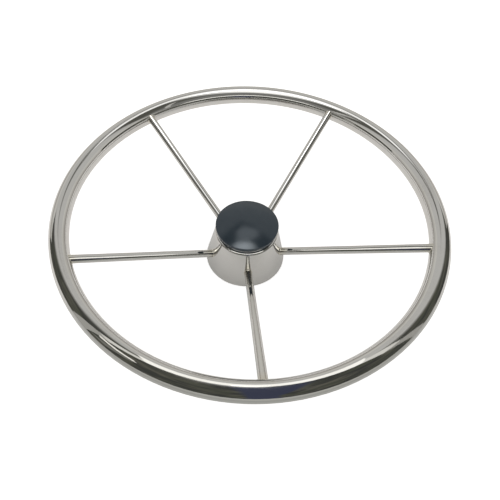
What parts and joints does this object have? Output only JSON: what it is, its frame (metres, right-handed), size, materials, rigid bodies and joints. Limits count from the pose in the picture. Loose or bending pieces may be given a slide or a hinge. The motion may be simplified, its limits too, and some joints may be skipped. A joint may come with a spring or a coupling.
{
  "type": "stainless boat steering wheel",
  "caption": "Dished boat steering wheel: a polished stainless tube rim on straight round spokes, a conical hub with a tapered shaft bore, and a black centre cap.",
  "frame": {"origin": "the centre of the hub's back face, on which the wheel stands", "axes": "+Z along the shaft's axis towards the driver, -Y along one spoke"},
  "size_m": [0.3939, 0.394, 0.0855],
  "materials": {
    "rim_steel": "polished",
    "spoke_steel": "polished",
    "hub_steel": "polished",
    "turned_steel": "satin",
    "cap_plastic": "gloss"
  },
  "bodies": {
    "root": {"rim_tube": "rim_steel", "spoke_front": "spoke_steel", "spoke_right": "spoke_steel", "spoke_back_right": "spoke_steel", "spoke_back_left": "spoke_steel", "spoke_left": "spoke_steel", "hub_shell": "hub_steel", "hub_back_plate": "turned_steel", "hub_boss": "turned_steel", "hub_cap": "cap_plastic"}
  },
  "joints": []
}
